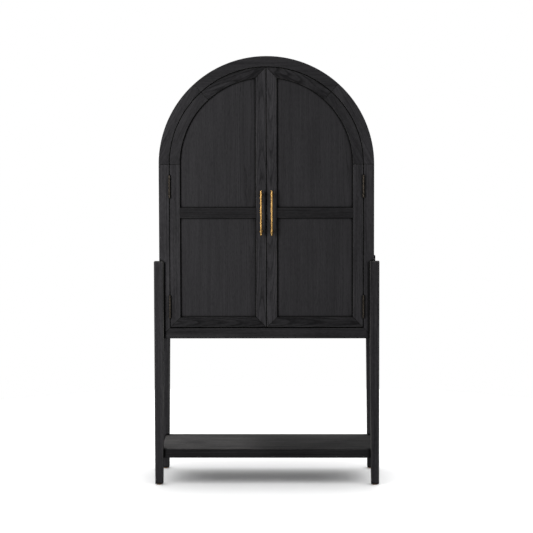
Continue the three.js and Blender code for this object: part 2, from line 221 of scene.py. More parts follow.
# %% Node helpers
def add_node(tree, kind, inputs=None, **settings):
    made = tree.nodes.new("ShaderNode" + kind)
    for name, value in settings.items():
        setattr(made, name, value)
    for name, value in (inputs or {}).items():
        if isinstance(value, bpy.types.NodeSocket):
            tree.links.new(value, made.inputs[name])
        else:
            made.inputs[name].default_value = value
    return made


def calculate(tree, operation, first, second=0.0):
    return add_node(tree, "Math", {0: first, 1: second}, operation=operation).outputs[0]


def grain_noise(tree, place, across, along, detail=2.0):
    scales = (across, across, along)
    drawn_out = add_node(tree, "VectorMath", {0: place, 1: scales}, operation="MULTIPLY")
    settings = {"Vector": drawn_out.outputs[0], "Scale": 1.0, "Detail": detail}
    noise = add_node(tree, "TexNoise", settings)
    return noise.outputs["Fac"]


def spread(tree, value, low, high, new_low, new_high):
    limits = {"Value": value, "From Min": low, "From Max": high, "To Min": new_low, "To Max": new_high}
    return add_node(tree, "MapRange", limits).outputs["Result"]


def mix_colour(tree, amount, first, second):
    mixer = add_node(tree, "Mix", {"Factor": amount}, data_type="RGBA")
    for socket, value in ((mixer.inputs[6], first), (mixer.inputs[7], second)):
        if isinstance(value, bpy.types.NodeSocket):
            tree.links.new(value, socket)
        else:
            socket.default_value = value
    return mixer.outputs[2]


def new_finish(name):
    finish = bpy.data.materials.new(name)
    finish.use_nodes = True
    tree = finish.node_tree
    return finish, tree, tree.nodes["Principled BSDF"]


# %% [markdown]
# ## Black-stained oak
#
# Oak is ring-porous: every year's ring starts with a band of open pores, which drink the
# stain and go darkest. The finish therefore works in the coordinates of the trunk. Each
# board carries, at every vertex, its place in the trunk it was sawn from, as an attribute
# called `trunk`: x and y run across the trunk and z along it. Rings are circles about the
# trunk's axis, so a board shows straight lines or pointed cathedrals by how it was sawn.
#
# Four more attributes tell the boards apart. `tone` makes some boards darker: partly a
# board's own tone, and on level grain partly painted shade. `figure` says how lively a
# board's pattern is. `arris` is above 0 on the eased edges, which are painted lighter as worn
# edges and as a painted highlight, and on top of the low shelf, which is painted lighter as a
# painted sheen. `knot` holds the way to the nearest knot.

# %% Oak: rings, streaks and pores
ring_width = 3.4 * MM
oak, tree, oak_shader = new_finish("charcoal_oak")
trunk = add_node(tree, "Attribute", attribute_name="trunk").outputs["Vector"]
tone = add_node(tree, "Attribute", attribute_name="tone").outputs["Fac"]
arris = add_node(tree, "Attribute", attribute_name="arris").outputs["Fac"]
figure = add_node(tree, "Attribute", attribute_name="figure").outputs["Fac"]
to_knot = add_node(tree, "Attribute", attribute_name="knot").outputs["Vector"]

knot_distance = add_node(tree, "VectorMath", {0: to_knot}, operation="LENGTH").outputs["Value"]
knot_core = spread(tree, knot_distance, 0.002, 0.007, 1.0, 0.0)
knot_swirl = spread(tree, knot_distance, 0.0, 0.045, 0.010, 0.0)

wander = calculate(tree, "MULTIPLY", grain_noise(tree, trunk, 7.0, 1.1), 0.016)
ripple = calculate(tree, "MULTIPLY", grain_noise(tree, trunk, 60.0, 9.0), 0.0022)
flat_place = add_node(tree, "VectorMath", {0: trunk, 1: (1.0, 1.0, 0.0)}, operation="MULTIPLY")
from_pith = add_node(tree, "VectorMath", {0: flat_place.outputs[0]}, operation="LENGTH").outputs["Value"]
bends = calculate(tree, "ADD", ripple, knot_swirl)
bent_rings = calculate(tree, "ADD", calculate(tree, "ADD", from_pith, wander), bends)
ring_count = calculate(tree, "DIVIDE", bent_rings, ring_width)
ring_share = calculate(tree, "FRACT", ring_count)
fading = spread(tree, ring_share, 0.0, 0.45, 1.0, 0.0)
starting = spread(tree, ring_share, 0.90, 1.0, 0.0, -1.0)
early_wood = calculate(tree, "SUBTRACT", fading, starting)
year = calculate(tree, "FLOOR", ring_count)
good_year = add_node(tree, "TexWhiteNoise", {"W": year}, noise_dimensions="1D").outputs["Value"]

broad_streak = grain_noise(tree, trunk, 42.0, 0.9, 3.0)
fine_streak = grain_noise(tree, trunk, 230.0, 4.0, 3.0)
stain_cloud = grain_noise(tree, trunk, 9.0, 3.5, 2.0)
mottle = grain_noise(tree, trunk, 170.0, 55.0, 2.0)
pore_noise = grain_noise(tree, trunk, 1150.0, 42.0, 1.0)
pore_room = spread(tree, early_wood, 0.0, 1.0, 0.25, 1.0)
pores = calculate(tree, "MULTIPLY", spread(tree, pore_noise, 0.53, 0.63, 0.0, 1.0), pore_room)
print("ring width", ring_width / MM, "mm")

# %% [markdown]
# Now the parts are weighed together. Streaks, clouds and a fine mottle move the tone up and
# down, and early wood and pores darken it. The result picks a colour between nearly black and
# a cool charcoal. Pores are also small pits, so they go into the bump with a real depth.
#
# An Ambient Occlusion node measures how open each spot is to its surroundings, and the colour
# paints shade from it: recesses and corners go nearly black as painted shade, and so do the
# arrises beside a narrow gap, as a painted shadow. The arrises that stand clear are painted
# lighter, partly as worn edges and partly as a painted highlight.

# %% Oak: colour, sheen and relief
pattern = spread(tree, early_wood, 0.0, 1.0, 0.07, -0.24)
weights = ((broad_streak, 0.16), (fine_streak, 0.20), (stain_cloud, 0.12), (mottle, 0.13))
for noise, weight in weights:
    pattern = calculate(tree, "ADD", pattern, spread(tree, noise, 0.3, 0.7, -weight, weight))
pattern = calculate(tree, "ADD", pattern, spread(tree, good_year, 0.0, 1.0, -0.07, 0.07))
pattern = calculate(tree, "MULTIPLY", pattern, figure)
middle_tone = calculate(tree, "ADD", pattern, 0.42)
lightness = calculate(tree, "SUBTRACT", middle_tone, calculate(tree, "MULTIPLY", knot_core, 0.5))

nearly_black = (0.0100, 0.0094, 0.0105, 1.0)
charcoal = (0.0510, 0.0490, 0.0525, 1.0)
pore_black = (0.0045, 0.0043, 0.0047, 1.0)
# Painted highlight and worn edges: this lighter grey goes on the arrises and on the low shelf's top.
worn_highlight_grey = (0.0950, 0.0910, 0.0850, 1.0)
# Painted shade: corners, recesses and the arrises beside gaps get this near black.
painted_shade_black = (0.0012, 0.0012, 0.0012, 1.0)
stained = mix_colour(tree, lightness, nearly_black, charcoal)
stained = mix_colour(tree, calculate(tree, "MULTIPLY", pores, 0.7), stained, pore_black)
openness = add_node(tree, "AmbientOcclusion", {"Distance": 22 * MM}, samples=8).outputs["AO"]
# Arrises are painted lighter, partly as worn edges and partly as a painted highlight; on the shelf's top
# it is a painted sheen.
worn_and_highlight = calculate(tree, "MULTIPLY", arris, spread(tree, fine_streak, 0.42, 0.60, 0.05, 0.55))
worn_and_highlight = calculate(tree, "MULTIPLY", worn_and_highlight, spread(tree, openness, 0.90, 0.99, 0.0, 1.0))
stained = mix_colour(tree, worn_and_highlight, stained, worn_highlight_grey)
toned = add_node(tree, "VectorMath", {0: stained, "Scale": tone}, operation="SCALE")
# Painted shade from the Ambient Occlusion value: recesses and corners go nearly black.
clear_of_painted_shade = spread(tree, openness, 0.68, 0.86, 0.0, 1.0)
# Painted shadow: arrises beside a narrow gap go nearly black, which widens the gap's dark line.
painted_gap_shade = calculate(tree, "MULTIPLY", arris, spread(tree, openness, 0.90, 0.99, 1.0, 0.0))
with_painted_shade = mix_colour(tree, clear_of_painted_shade, painted_shade_black, toned.outputs[0])
with_painted_shade = mix_colour(tree, painted_gap_shade, with_painted_shade, painted_shade_black)
tree.links.new(with_painted_shade, oak_shader.inputs["Base Color"])

ring_roughness = spread(tree, lightness, 0.0, 1.0, 0.60, 0.47)
oak_roughness = calculate(tree, "ADD", ring_roughness, calculate(tree, "MULTIPLY", pores, 0.2))
tree.links.new(oak_roughness, oak_shader.inputs["Roughness"])
oak_shader.inputs["Specular IOR Level"].default_value = 0.13

relief = calculate(tree, "MULTIPLY", pores, -0.16 * MM)
relief = calculate(tree, "ADD", relief, calculate(tree, "MULTIPLY", early_wood, -0.05 * MM))
relief = calculate(tree, "ADD", relief, calculate(tree, "MULTIPLY", fine_streak, 0.12 * MM))
oak_bump = add_node(tree, "Bump", {"Height": relief, "Distance": 1.0, "Strength": 0.7})
tree.links.new(oak_bump.outputs["Normal"], oak_shader.inputs["Normal"])
print("oak finish has", len(tree.nodes), "nodes")

# %% [markdown]
# ## Which faces are glued
#
# An arris that can be touched is eased with a sanding block, but an edge inside a joint
# stays sharp, or the joint would show as a groove. To tell them apart, one search tree holds
# every oak solid. A face is glued if another board lies within a millimetre in front of it.

# %% Oak boards and their joints
oak_names = [n for n in sorted(nodes) if not n.startswith(("hinge_", "handle_", "glide_", "catch_"))]
oak_names = [n for n in oak_names if not n.endswith("_strike")]


def tree_of(names):
    corners = []
    faces = []
    for name in names:
        start = len(corners)
        mesh = nodes[name].data
        corners += [v.co.copy() for v in mesh.vertices]
        faces += [[start + i for i in p.vertices] for p in mesh.polygons]
    return BVHTree.FromPolygons(corners, faces)


all_oak = tree_of(oak_names)


def is_glued(face):
    start = face.calc_center_median() + face.normal * 0.02 * MM
    return all_oak.ray_cast(start, face.normal, 1.0 * MM)[0] is not None


print(len(oak_names), "oak boards")

# %% [markdown]
# ## Easing the arrises
#
# `clean_solid` copies a solid's mesh, welds it, and merges its triangles into whole faces.
# `free_arrises` picks the edges that stand out and aren't glued, and `ease` rounds them with
# a narrow bevel. A Bevel modifier with edge weights could round them too, but bmesh hands the
# new faces back at once, so that they can be marked for the lighter paint of the arrises,
# which stands for worn edges and a painted highlight. A Weighted Normal modifier keeps the
# broad faces flat in the light, while arcs and bevels shade smoothly.


# %% Eased copies
def free_arrises(work, glued_faces, least_angle=30):
    chosen = []
    for edge in work.edges:
        if len(edge.link_faces) != 2 or edge.calc_face_angle_signed() < math.radians(least_angle):
            continue
        if not any(face in glued_faces for face in edge.link_faces):
            chosen.append(edge)
    return chosen


def clean_solid(node):
    work = bmesh.new()
    work.from_mesh(nodes[node].data)
    bmesh.ops.remove_doubles(work, verts=work.verts, dist=0.01 * MM)
    bmesh.ops.dissolve_limit(work, angle_limit=math.radians(0.6), verts=work.verts, edges=work.edges)
    work.normal_update()
    return work


def ease(work, arrises, radius, steps=2):
    made = bmesh.ops.bevel(
        work, geom=arrises, offset=radius, segments=steps, profile=0.5, affect="EDGES", clamp_overlap=False
    )
    return made["faces"]


def finished_object(name, work, finish, smooth_below=50):
    mesh = bpy.data.meshes.new(name)
    work.to_mesh(mesh)
    work.free()
    mesh.shade_smooth()
    mesh.set_sharp_from_angle(angle=math.radians(smooth_below))
    mesh.materials.append(finish)
    made = bpy.data.objects.new(name, mesh)
    bpy.context.scene.collection.objects.link(made)
    return made


def keep_flats(piece):
    weighted = piece.modifiers.new("flat faces", "WEIGHTED_NORMAL")
    weighted.keep_sharp = True


# %% [markdown]
# ## Sawing boards from a trunk
#
# `saw` writes the attributes. It measures each vertex along the board, across its width and
# through its thickness, and then sets the board somewhere in the trunk. A plain sawn board
# lies flat over the pith and leans a little against it, which gives cathedrals. A rift sawn
# board lies far out to one side, which gives straight lines. A seeded random draw from the
# board's name makes every board differ, and makes every run the same. Knots come in pairs,
# one above the other: `knot` gives their distance from the board's middle line, the height of
# the point halfway between them, and half their spacing, in metres.

# %% Saw and finish a board
X_AXIS, Y_AXIS, Z_AXIS = Vector((1, 0, 0)), Vector((0, 1, 0)), Vector((0, 0, 1))
NO_KNOT = Vector((9.0, 9.0, 9.0))


def board_frame(mesh, along, outwards):
    corners = [v.co for v in mesh.vertices]
    low = Vector(min(c[i] for c in corners) for i in range(3))
    high = Vector(max(c[i] for c in corners) for i in range(3))
    across = along.cross(outwards)
    return (low + high) / 2, across, outwards, along


def trunk_place(name, cut):
    draw = random.Random("oak " + name)
    shift = Vector((draw.uniform(-0.012, 0.012), draw.uniform(0.045, 0.075), draw.uniform(0.5, 9.0)))
    lean = draw.choice((-1, 1)) * draw.uniform(0.020, 0.045)
    if cut == "rift":
        shift.x = draw.choice((-1, 1)) * draw.uniform(0.14, 0.20)
        shift.y = draw.uniform(0.08, 0.13)
        lean = draw.uniform(-0.006, 0.006)
    return shift, lean


def write_attribute(mesh, name, kind, domain, values):
    attribute = mesh.attributes.new(name, kind, domain)
    field = "vector" if kind == "FLOAT_VECTOR" else "value"
    attribute.data.foreach_set(field, values)


def saw(mesh, name, along, outwards, cut, board_tone, board_figure, knot=None):
    middle, across, outwards, along = board_frame(mesh, along, outwards)
    shift, lean = trunk_place(name, cut)
    places = []
    knots = []
    for vertex in mesh.vertices:
        local = vertex.co - middle
        length = local.dot(along)
        place = Vector((local.dot(across), local.dot(outwards) + lean * length, length)) + shift
        places.extend(place)
        if knot:
            off_middle, pair_height, half_spacing = knot
            sideways = local.dot(across) - off_middle
            up_or_down = abs(vertex.co.z - pair_height) - half_spacing
            knots.extend((sideways, 0.0, up_or_down * 0.45))
        else:
            knots.extend(NO_KNOT)
    write_attribute(mesh, "trunk", "FLOAT_VECTOR", "POINT", places)
    write_attribute(mesh, "knot", "FLOAT_VECTOR", "POINT", knots)
    write_attribute(mesh, "tone", "FLOAT", "POINT", [board_tone] * len(mesh.vertices))
    write_attribute(mesh, "figure", "FLOAT", "POINT", [board_figure] * len(mesh.vertices))


# %% [markdown]
# `oak_board` puts these steps together for one solid. `radius` is that of its eased arrises.
# One setting paints those arrises lighter, partly as worn edges and partly as a painted
# highlight. Another paints a whole top face lighter, as a painted sheen of light on the top.


# %% Oak board from a solid
def oak_board(
    node, along, outwards, cut="rift", board_tone=1.0, board_figure=1.0, radius=0.9 * MM,
    steps=2, knot=None, edge_wear_and_highlight=1.0, painted_top_sheen=0.0
):
    work = clean_solid(node)
    glued = {face for face in work.faces if is_glued(face)}
    mark = work.faces.layers.float.new("arris")
    # A top face can get a painted sheen, and eased arrises are painted lighter as worn edges and as a
    # painted highlight.
    for face in work.faces:
        face[mark] = painted_top_sheen if face.normal.z > 0.9 else 0.0
    for face in ease(work, free_arrises(work, glued), radius, steps):
        face[mark] = edge_wear_and_highlight
    piece = finished_object(f"{node}_board", work, oak)
    saw(piece.data, node, along.normalized(), outwards.normalized(), cut, board_tone, board_figure, knot)
    keep_flats(piece)
    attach(piece, nodes[node]["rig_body"])
    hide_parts(node)
    return piece


FRONT = -Y_AXIS
print("the front faces", tuple(FRONT))

# %% [markdown]
# ## The case
#
# The case is a box of boards behind a face frame. Uprights have upright grain and rails have
# level grain. The face frame's arch is cut from straight boards, so the grain of each side
# segment runs along its own chord. The diagonal of the segment's box is close enough to it.


# %% Face frame
def chord(node):
    low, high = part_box(node)
    side = 1 if high.x > -low.x else -1
    rise = high.z - low.z
    run = high.x - low.x
    return Vector((-side * run, 0, rise)).normalized()


frame_easing = 1.4 * MM
for side in ("left", "right"):
    arch = f"face_arch_{side}"
    oak_board(f"face_stile_{side}", Z_AXIS, FRONT, board_tone=1.02, radius=frame_easing)
    oak_board(arch, chord(arch), FRONT, board_tone=1.04, radius=frame_easing)
# The crown and the bottom rail run level, so their lower tones are painted shade for level grain.
oak_board("face_arch_crown", X_AXIS, FRONT, board_tone=0.90, board_figure=0.7, radius=frame_easing)
oak_board("face_bottom_rail", X_AXIS, FRONT, board_tone=0.78, radius=frame_easing)
print("face frame eased by", frame_easing / MM, "mm")

# %% [markdown]
# The sides, back and shelves are wide boards sawn plain. The floor of the case is rift sawn,
# because a floor that carries weight should stay flat.

# %% Sides, back, floor and shelves
for side, outwards in (("left", -X_AXIS), ("right", X_AXIS)):
    oak_board(f"case_side_{side}", Z_AXIS, outwards, cut="plain", board_tone=0.98)
oak_board("back_panel", Z_AXIS, Y_AXIS, cut="plain", board_tone=0.92, radius=0.6 * MM)
oak_board("case_floor", X_AXIS, Z_AXIS, board_tone=0.95)
for index in (1, 2, 3):
    oak_board(f"shelf_{index}", X_AXIS, Z_AXIS, cut="plain", board_tone=0.97, radius=1.2 * MM)
clear_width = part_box("shelf_1")[1].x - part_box("shelf_1")[0].x
print("shelves", round(clear_width / MM), "mm wide")

# %% [markdown]
# ## The bent top
#
# The arched roof of the case is bent from thin layers, so its grain runs round the arch. A
# Curve modifier could bend a straight board, but a sweep gives exact radii: the section goes
# through half a turn in one-degree steps. The `trunk` attribute is measured round the arc
# instead of along a straight line. A rebate at the back takes the back panel.

# %% Arched shell
shell_low, shell_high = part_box("arch_shell")
shell_radius = shell_high.x
springline = shell_low.z
back_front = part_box("back_panel")[0].y
shell_thickness = 19 * MM
rebate = 8 * MM
eased = 0.9 * MM
inner_radius = shell_radius - shell_thickness
glue_gap = 0.3 * MM
shell_section = [
    (inner_radius, shell_low.y),
    (shell_radius, shell_low.y),
    (shell_radius, shell_high.y - eased),
    (shell_radius - 0.3 * eased, shell_high.y - 0.3 * eased),
    (shell_radius - eased, shell_high.y),
    (inner_radius + rebate, shell_high.y),
    (inner_radius + rebate, back_front - glue_gap),
    (inner_radius, back_front - glue_gap),
]


def bent_shell(name, section, steps=180):
    work = bmesh.new()
    rings = []
    for step in range(steps + 1):
        angle = math.pi * step / steps
        c, s = math.cos(angle), math.sin(angle)
        rings.append([work.verts.new((r * c, y, springline + r * s)) for r, y in section])
    count = len(section)
    for ring, following in zip(rings, rings[1:]):
        for i in range(count):
            j = (i + 1) % count
            work.faces.new((ring[i], following[i], following[j], ring[j]))
    work.faces.new(rings[0])
    work.faces.new(rings[-1][::-1])
    bmesh.ops.recalc_face_normals(work, faces=work.faces)
    work.faces.layers.float.new("arris")
    piece = finished_object(name, work, oak)
    shift, _ = trunk_place(name, "rift")
    places = []
    for vertex in piece.data.vertices:
        out = Vector((vertex.co.x, 0, vertex.co.z - springline))
        around = math.atan2(out.z, out.x) * inner_radius
        places.extend(Vector((vertex.co.y, out.length, around)) + shift)
    write_attribute(piece.data, "trunk", "FLOAT_VECTOR", "POINT", places)
    no_knots = list(NO_KNOT) * len(piece.data.vertices)
    write_attribute(piece.data, "knot", "FLOAT_VECTOR", "POINT", no_knots)
    full_scale = [1.0] * len(piece.data.vertices)
    for name_of_scale in ("tone", "figure"):
        write_attribute(piece.data, name_of_scale, "FLOAT", "POINT", full_scale)
    return piece


arched_shell = bent_shell("arch_shell_bent", shell_section)
keep_flats(arched_shell)
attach(arched_shell, nodes["arch_shell"]["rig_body"])
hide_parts("arch_shell")
print("shell faces", len(arched_shell.data.polygons))

# %% [markdown]
# ## The doors
#
# Each door is a frame of six boards round two flat panels. Stiles and panels have upright
# grain, and rails have level grain. The level rails and the arch rails are toned down as
# painted shade: light that rakes from the side shows less on level grain, and their darker
# tone paints that in. The bottom rails and the upper arch rails were sawn plain, so they carry
# the liveliest cathedrals. Two small knots sit in each meeting stile, and two more in the
# upper arch rail of the right door. The numbers after each cut are the board's tone and how
# lively its figure is.

# %% Doors
# Darker tones for the level rails: painted shade, since side light shows less on level grain.
level_grain_shades = {"left": 0.53, "right": 0.60}
rail_knots = {"left": None, "right": (0.0, 2.020, 0.018)}
meeting_knots = {"left": (0.010, 1.700, 0.081), "right": (-0.013, 1.721, 0.081)}
for side in ("left", "right"):
    door = f"door_{side}"
    lower_rail = f"{door}_arch_rail_lower"
    upper_rail = f"{door}_arch_rail_upper"
    knots, level_grain_shade = meeting_knots[side], level_grain_shades[side]
    oak_board(f"{door}_hinge_stile", Z_AXIS, FRONT, "rift", 1.00, 1.0, frame_easing)
    oak_board(f"{door}_meeting_stile", Z_AXIS, FRONT, "plain", 1.18, 0.8, frame_easing, knot=knots)
    oak_board(f"{door}_bottom_rail", X_AXIS, FRONT, "plain", level_grain_shade, 1.4, frame_easing)
    oak_board(f"{door}_mid_rail", X_AXIS, FRONT, "rift", level_grain_shade, 1.0, frame_easing)
    # The arch rails' lower tones are painted shade as well.
    oak_board(lower_rail, chord(lower_rail), FRONT, "rift", 0.82, 1.0, frame_easing)
    knots = rail_knots[side]
    oak_board(upper_rail, chord(upper_rail), FRONT, "plain", 0.66, 1.5, frame_easing, knot=knots)
    for panel in ("upper_panel", "lower_panel"):
        oak_board(f"{door}_{panel}", Z_AXIS, FRONT, "rift", 0.98, 0.4, 0.5 * MM)
print("two doors of eight boards each")

# %% [markdown]
# ## The stand
#
# The legs are square posts that taper below the case. Their arrises are eased and painted
# lighter than the rest: partly worn edges, since they are what people knock against, and
# partly a painted highlight. The low shelf is a thick plank that the legs wrap round at its
# corners.

# %% Legs and low shelf
for depth, outwards in (("front", FRONT), ("back", Y_AXIS)):
    for side in ("left", "right"):
        leg = f"leg_{depth}_{side}"
        # Leg arrises are painted lighter than the rest, as worn edges and as a painted highlight.
        oak_board(leg, Z_AXIS, outwards, board_tone=1.03, radius=2.4 * MM, steps=3, edge_wear_and_highlight=2.2)
# The low shelf's top is painted lighter, as a painted sheen.
low_shelf = oak_board("stand_shelf", X_AXIS, Z_AXIS, "plain", 0.52, 1.0, 1.4 * MM, painted_top_sheen=1.0)

# %% [markdown]
# The case keeps most of the light off the low shelf. A softbox of its own, linked to nothing
# else, lights its top without lighting the legs. The top is also painted lighter, as a painted
# sheen.

# %% Shelf light
shelf_softbox = softbox("shelf_softbox", (-2.9, 0.3, 3.5), (-0.2, 0, 0.15), 0.8, 0.8, 250)
shelf_only = bpy.data.collections.new("shelf_only")
shelf_only.objects.link(low_shelf)
shelf_softbox.light_linking.receiver_collection = shelf_only
print("shelf light", shelf_softbox.data.energy, "W")

# %% [markdown]
# ## Brass
#
# Satin brass is drawn and brushed along its length, which leaves hair-fine lines. Noise that
# is stretched along z makes them, in the bump and in the roughness. The hinges are the same
# metal gone brown with age: darker and rougher. `raise_relief` turns a pattern into a bump of
# a given height in metres, here and in later finishes.


# %% Two kinds of brass
def raise_relief(tree, shader, pattern, height):
    relief = calculate(tree, "MULTIPLY", pattern, height)
    bump = add_node(tree, "Bump", {"Height": relief, "Distance": 1.0})
    tree.links.new(bump.outputs["Normal"], shader.inputs["Normal"])


def brass_finish(name, bright, dull, low_roughness, high_roughness):
    finish, tree, shader = new_finish(name)
    place = add_node(tree, "TexCoord").outputs["Object"]
    lines = grain_noise(tree, place, 5200.0, 60.0, 2.0)
    cloud = grain_noise(tree, place, 160.0, 60.0, 3.0)
    dulled = spread(tree, cloud, 0.35, 0.70, 0.0, 1.0)
    tree.links.new(mix_colour(tree, dulled, bright, dull), shader.inputs["Base Color"])
    roughness = spread(tree, lines, 0.3, 0.7, low_roughness, high_roughness)
    tree.links.new(roughness, shader.inputs["Roughness"])
    shader.inputs["Metallic"].default_value = 1.0
    raise_relief(tree, shader, lines, 0.008 * MM)
    return finish


bright_brass, dull_brass = (0.40, 0.24, 0.082, 1), (0.29, 0.17, 0.056, 1)
brown_brass, tarnish = (0.056, 0.047, 0.038, 1), (0.033, 0.028, 0.023, 1)
handle_brass = brass_finish("brushed_brass", bright_brass, dull_brass, 0.24, 0.40)
hinge_brass = brass_finish("aged_brass", brown_brass, tarnish, 0.36, 0.55)
print("brass for handles and hinges")

# %% [markdown]
# ## Turning
#
# Bars, posts, pins, magnets and glides are all turned, so `turned` spins a profile of radius
# and height pairs round the z axis and closes it on the axis. A Screw modifier could spin it
# too, but this way the rings can still be reshaped. `rounded` gives the quarter-round edge
# that a file leaves on a turned end. `settle` makes a piece ride with its body and stand in
# for its solid.


# %% Lathe
def rounded(radius, height, edge, rising, steps=5):
    points = []
    for step in range(steps + 1):
        angle = math.pi / 2 * step / steps
        if rising:
            out, up = math.sin(angle), 1 - math.cos(angle)
        else:
            out, up = math.cos(angle), math.sin(angle) - 1
        points.append((radius - edge + edge * out, height + edge * up))
    return points


def circle(radius, height, facets):
    turns = [2 * math.pi * i / facets for i in range(facets)]
    return [(radius * math.cos(a), radius * math.sin(a), height) for a in turns]


def turned(name, profile, finish, facets=48, smooth_below=35):
    work = bmesh.new()
    rings = []
    for radius, height in profile:
        if radius < 1e-7:
            rings.append([work.verts.new((0, 0, height))])
            continue
        rings.append([work.verts.new(point) for point in circle(radius, height, facets)])
    for lower, upper in zip(rings, rings[1:]):
        for i in range(facets):
            j = (i + 1) % facets
            below = [lower[i % len(lower)], lower[j % len(lower)]]
            above = [upper[j % len(upper)], upper[i % len(upper)]]
            work.faces.new(list(dict.fromkeys(below + above)))
    bmesh.ops.recalc_face_normals(work, faces=work.faces)
    return finished_object(name, work, finish, smooth_below)


def settle(piece, node):
    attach(piece, nodes[node]["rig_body"])
    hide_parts(node)
    return piece


# %% [markdown]
# ## The handles
#
# A handle is a round bar on two short posts. Each post stands on a small rose and ends in a
# saddle that fits the bar. The saddle is made by moving the post's end ring back onto the
# bar's own cylinder, so that no gap shows between them.

# %% Bars and posts
edge = 3.0 * MM
stem, rose, rose_edge, cove_radius = 3.6 * MM, 2.5 * MM, 0.8 * MM, 1.6 * MM
upright_to_forward = Matrix.Rotation(math.radians(90), 4, "X")


def post_profile(rose_radius, reach):
    cove = []
    for angle in (0.0, 0.5, 1.0, 1.4):
        inward, upward = 1 - math.sin(angle), 1 - math.cos(angle)
        cove.append((stem + cove_radius * inward, rose + cove_radius * upward))
    foot = [(0, 0), (rose_radius, 0)] + rounded(rose_radius, rose, rose_edge, False)
    return foot + cove + [(stem, reach - 6 * MM), (stem, reach), (0, reach)]


for side in ("left", "right"):
    low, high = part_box(f"handle_{side}_bar")
    bar_radius = (high.x - low.x) / 2
    bar_middle = (low + high) / 2
    length = high.z - low.z
    bottom_end = [(0, 0)] + rounded(bar_radius, 0, edge, True)
    top_end = rounded(bar_radius, length, edge, False) + [(0, length)]
    bar = turned(f"handle_{side}_brushed_bar", bottom_end + top_end, handle_brass)
    bar.data.transform(Matrix.Translation((bar_middle.x, bar_middle.y, low.z)))
    settle(bar, f"handle_{side}_bar")
    for place in ("upper", "lower"):
        node = f"handle_{side}_post_{place}"
        foot_low, foot_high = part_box(node)
        foot_x, foot_z = (foot_low.x + foot_high.x) / 2, (foot_low.z + foot_high.z) / 2
        reach = foot_high.y - bar_middle.y
        profile = post_profile((foot_high.x - foot_low.x) / 2, reach)
        post = turned(f"handle_{side}_turned_post_{place}", profile, handle_brass)
        for vertex in post.data.vertices:
            if vertex.co.z > reach - 0.01 * MM:
                vertex.co.z = reach - math.sqrt(bar_radius**2 - vertex.co.x**2)
        post.data.transform(upright_to_forward)
        post.data.transform(Matrix.Translation((foot_x, foot_high.y, foot_z)))
        settle(post, node)
print("bar length", round(length / MM), "mm")

# %% [markdown]
# ## The hinges
#
# A butt hinge is two leaves whose knuckles interlock on a pin. The leaves keep the shape of
# their solids, and their edges are broken as narrowly as a file would. `metal_copy` does that
# for any metal solid.


# %% Metal copies
def metal_copy(node, suffix, finish, radius=0.2 * MM, smooth_below=35):
    work = clean_solid(node)
    ease(work, free_arrises(work, set()), radius, 1)
    piece = finished_object(f"{node}_{suffix}", work, finish, smooth_below)
    keep_flats(piece)
    return settle(piece, node)


# %% [markdown]
# Three countersunk screws hold every leaf, and show only when the door stands open. A screw's
# head is a disc with a cross cut into it. A boolean could cut the cross, but here its outline
# and the disc's are filled together, which leaves the recess open and the mesh clean.


# %% Screws
def cross_outline(reach, half_width):
    quarter = [(reach, -half_width), (reach, half_width), (half_width, half_width)]
    points = []
    for turn in range(4):
        c, s = math.cos(turn * math.pi / 2), math.sin(turn * math.pi / 2)
        points += [(x * c - y * s, x * s + y * c) for x, y in quarter]
    return points


def one_screw(radius, thickness, facets=24):
    single = bmesh.new()

    def ring(points):
        return [single.verts.new(point) for point in points]

    rim = ring(circle(radius, thickness * 0.6, facets))
    inner = ring(circle(0.86 * radius, thickness, facets))
    base = ring(circle(radius, 0, facets))
    cross = ring([(x, y, thickness) for x, y in cross_outline(0.55 * radius, 0.13 * radius)])
    pit = ring([(0.8 * v.co.x, 0.8 * v.co.y, thickness * 0.25) for v in cross])
    for outer_ring, inner_ring in ((base, rim), (rim, inner), (cross, pit)):
        for i in range(len(outer_ring)):
            j = (i + 1) % len(outer_ring)
            single.faces.new((outer_ring[i], outer_ring[j], inner_ring[j], inner_ring[i]))
    single.faces.new(base)
    single.faces.new(pit)
    top_edges = [e for e in single.edges if all(v.co.z > thickness * 0.99 for v in e.verts)]
    bmesh.ops.triangle_fill(single, edges=top_edges, use_beauty=True)
    bmesh.ops.recalc_face_normals(single, faces=single.faces)
    return single


def screw_heads(name, places, outwards, finish, radius=3.2 * MM, thickness=0.5 * MM):
    work = bmesh.new()
    turn = Z_AXIS.rotation_difference(outwards).to_matrix().to_4x4()
    for place in places:
        single = one_screw(radius, thickness)
        single.transform(Matrix.Translation(place) @ turn)
        part = bpy.data.meshes.new("one_screw")
        single.to_mesh(part)
        single.free()
        work.from_mesh(part)
        bpy.data.meshes.remove(part)
    return finished_object(name, work, finish, 30)


# %% [markdown]
# Each pin is turned with a domed cap at both ends and a thinner neck that runs through the
# knuckles. The screws face into the gap between the two leaves, three to a leaf, 38 mm apart.


# %% Hinges
def pin_profile(cap, height):
    neck, cap_length, dome = 2 * MM, 3 * MM, cap * 0.6
    bottom = [(0, 0)] + rounded(cap, 0, dome, True) + [(cap, cap_length), (neck, cap_length)]
    top = [(neck, height - cap_length), (cap, height - cap_length)]
    return bottom + top + rounded(cap, height, dome, False) + [(0, height)]


